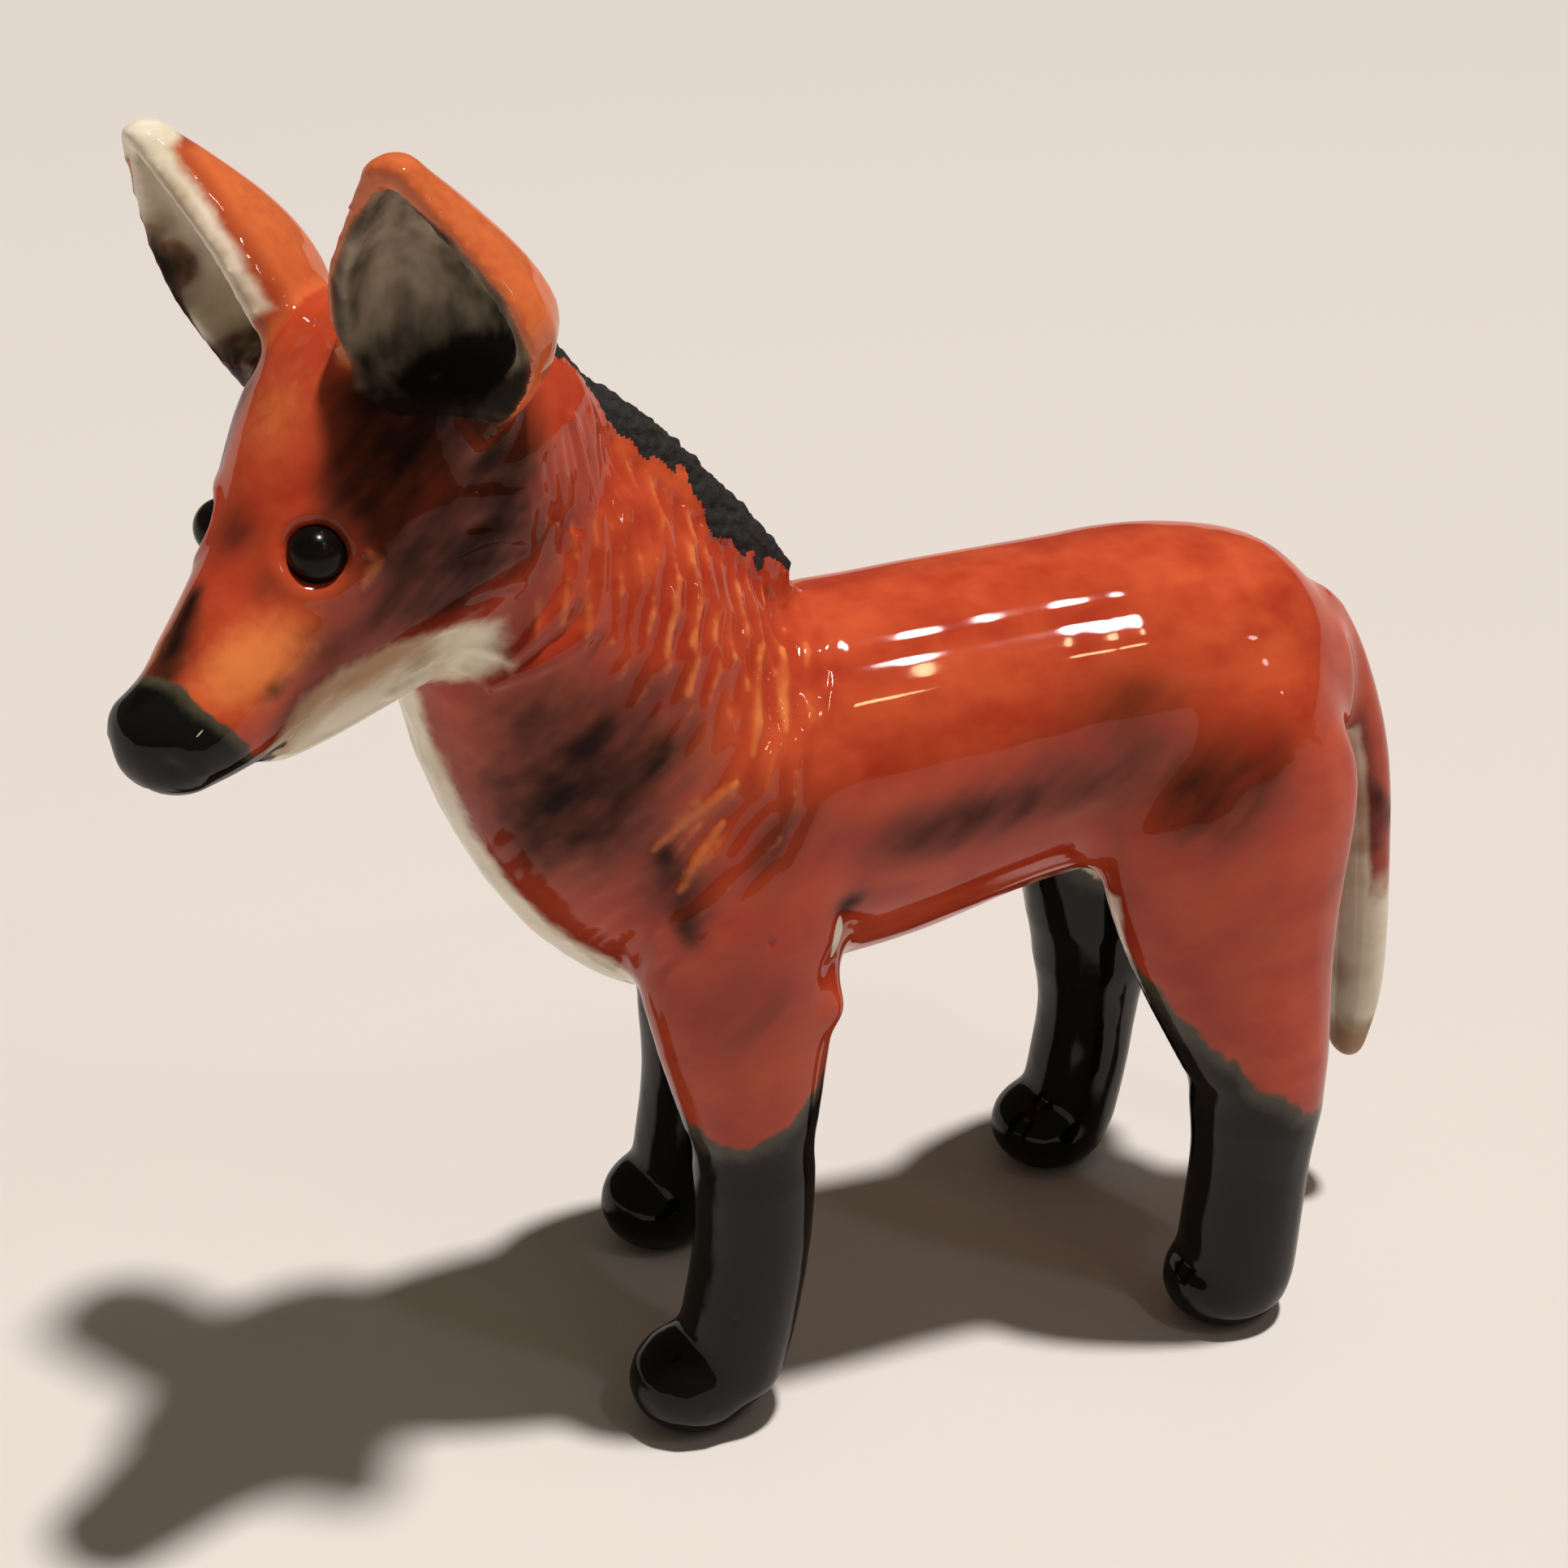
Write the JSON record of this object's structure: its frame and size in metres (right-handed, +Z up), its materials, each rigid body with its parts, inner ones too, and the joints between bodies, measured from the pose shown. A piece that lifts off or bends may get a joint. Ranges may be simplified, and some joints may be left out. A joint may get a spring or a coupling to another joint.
{
  "type": "ceramic maned wolf figurine",
  "caption": "Glazed ceramic maned wolf standing with its head turned to its left, with tall cupped ears, a dark crest along the nape, long dark legs and a hanging tail; a shelf ornament.",
  "frame": {"origin": "on the floor under the middle of the figurine's box", "axes": "+X the way the body faces, +Y the wolf's left, +Z up"},
  "size_m": [0.1138, 0.039, 0.1165],
  "materials": {
    "orange_glaze": "glossy orange-red glaze, brushed",
    "black_glaze": "glossy black glaze",
    "eye_glaze": "glossy black glaze",
    "cream_glaze": "glossy cream glaze",
    "ear_glaze": "glossy orange outside, grey-white inside",
    "tail_glaze": "glossy orange running into cream",
    "matte_mane": "rough black underglaze"
  },
  "bodies": {
    "root": {"trunk": "orange_glaze", "neck": "orange_glaze", "head": "orange_glaze", "lower_jaw": "cream_glaze", "left_ear": "ear_glaze", "right_ear": "ear_glaze", "left_eye": "eye_glaze", "right_eye": "eye_glaze", "nose": "black_glaze", "mane": "matte_mane", "tail": "tail_glaze", "left_shoulder": "orange_glaze", "right_shoulder": "orange_glaze", "left_haunch": "orange_glaze", "right_haunch": "orange_glaze", "left_fore_leg": "black_glaze", "right_fore_leg": "black_glaze", "left_hind_leg": "black_glaze", "right_hind_leg": "black_glaze"}
  },
  "joints": []
}
